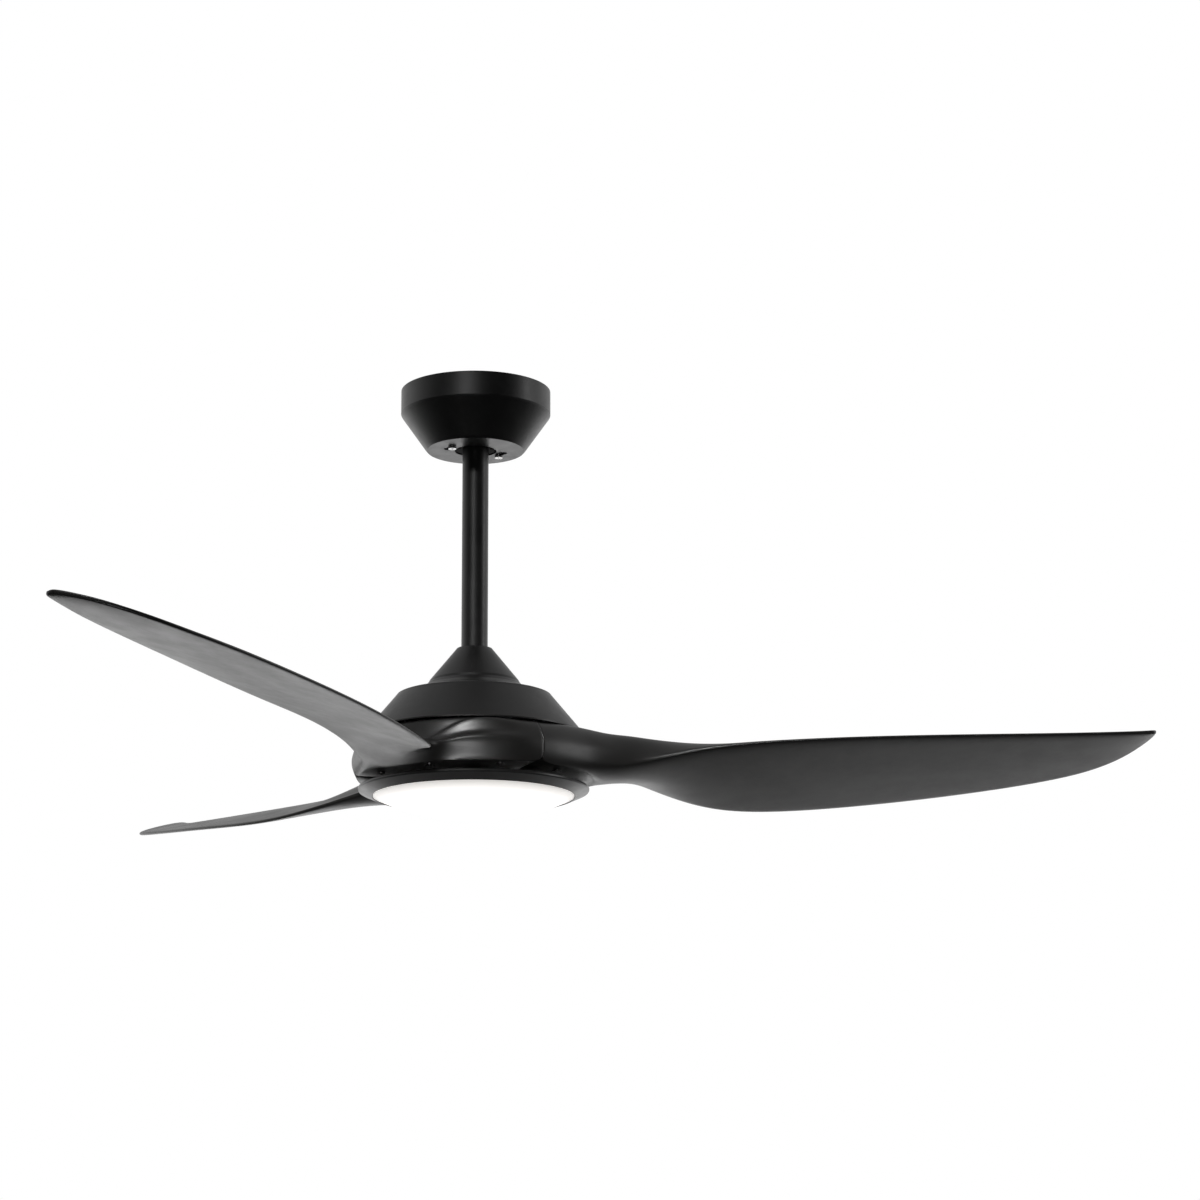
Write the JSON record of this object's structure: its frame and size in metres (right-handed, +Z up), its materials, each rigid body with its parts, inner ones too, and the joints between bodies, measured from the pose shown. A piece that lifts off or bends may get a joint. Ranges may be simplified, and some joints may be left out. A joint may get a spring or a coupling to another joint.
{
  "type": "ceiling fan with light",
  "caption": "Black ceiling fan with swept moulded blades on a short down-rod and a round opal light under the hub.",
  "frame": {"origin": "centre of the ceiling bracket's upper face, where it meets the ceiling", "axes": "+Z up into the ceiling along the down-rod, +X along one blade and along the bracket's screw slots"},
  "size_m": [0.9986, 1.1285, 0.4129],
  "materials": {
    "black_paint": "satin black powder coat",
    "blade_plastic": "satin black moulded plastic",
    "black_trim": "satin-gloss black moulded plastic",
    "opal_lens": "satin opal diffuser, lit",
    "black_nylon": "matte nylon",
    "black_box": "fine moulded texture",
    "pale_plastic": "matte moulded",
    "zinc_steel": "zinc-plated pressed steel",
    "screw_steel": "bright nickel plate",
    "black_screw": "black nickel plate",
    "shaft_steel": "ground steel",
    "core_steel": "stacked electrical steel",
    "cast_metal": "black cast iron",
    "cast_aluminium": "die cast",
    "magnet": "sintered ferrite",
    "copper_wire": "enamelled copper wire",
    "circuit_board": "green solder mask",
    "led_board": "white solder mask",
    "led_phosphor": "yellow phosphor",
    "cable_jacket": "smooth jacket"
  },
  "bodies": {
    "ceiling_mount": {"ceiling_bracket": "zinc_steel", "canopy_screws": "screw_steel", "receiver_box": "black_box", "terminal_block": "pale_plastic"},
    "canopy": {"canopy": "black_paint"},
    "hanging_fan": {"hanger_ball": "black_nylon", "ball_cross_pin": "screw_steel", "ball_set_screw": "screw_steel", "downrod": "black_paint", "rod_lead": "cable_jacket", "yoke": "cast_metal", "clevis_pin": "screw_steel", "hairpin_clip": "screw_steel", "yoke_set_screws": "screw_steel", "motor_cover": "black_paint", "motor_cover_screws": "screw_steel", "motor_shaft": "shaft_steel", "upper_bearing": "shaft_steel", "lower_bearing": "shaft_steel", "stator_core": "core_steel", "stator_windings": "copper_wire", "motor_board": "circuit_board", "light_mount_plate": "zinc_steel", "light_pan": "black_paint", "light_pan_screws": "screw_steel", "shaft_nut": "screw_steel", "led_board": "led_board", "led_chips": "led_phosphor", "led_driver": "pale_plastic", "trim_ring": "black_trim"},
    "coupling_cover": {"coupling_cover": "black_paint"},
    "rotor": {"rotor_upper_cap": "cast_aluminium", "rotor_lower_cap": "cast_aluminium", "magnet_ring": "magnet", "blade_1": "blade_plastic", "blade_2": "blade_plastic", "blade_3": "blade_plastic", "blade_screws": "black_screw", "rotor_screws": "screw_steel"},
    "lens": {"lens": "opal_lens"}
  },
  "joints": [
    {"name": "hanger_tilt", "type": "hinge", "parent": "ceiling_mount", "child": "hanging_fan", "pos_m": [0, 0, -0.038], "axis": [1, 0, 0], "range_deg": [-10, 10]},
    {"name": "rotor_spin", "type": "hinge", "parent": "hanging_fan", "child": "rotor", "pos_m": [0, 0, -0.345], "axis": [0, 0, 1], "continuous": true},
    {"name": "coupling_cover_slide", "type": "slide", "parent": "hanging_fan", "child": "coupling_cover", "axis": [0, 0, 1], "range_m": [0, 0.165]},
    {"name": "canopy_twist", "type": "hinge", "parent": "ceiling_mount", "child": "canopy", "pos_m": [0, 0, -0.03], "axis": [0, 0, 1], "range_deg": [0, 18]},
    {"name": "lens_twist", "type": "hinge", "parent": "hanging_fan", "child": "lens", "pos_m": [0, 0, -0.39], "axis": [0, 0, 1], "range_deg": [0, 20]}
  ]
}
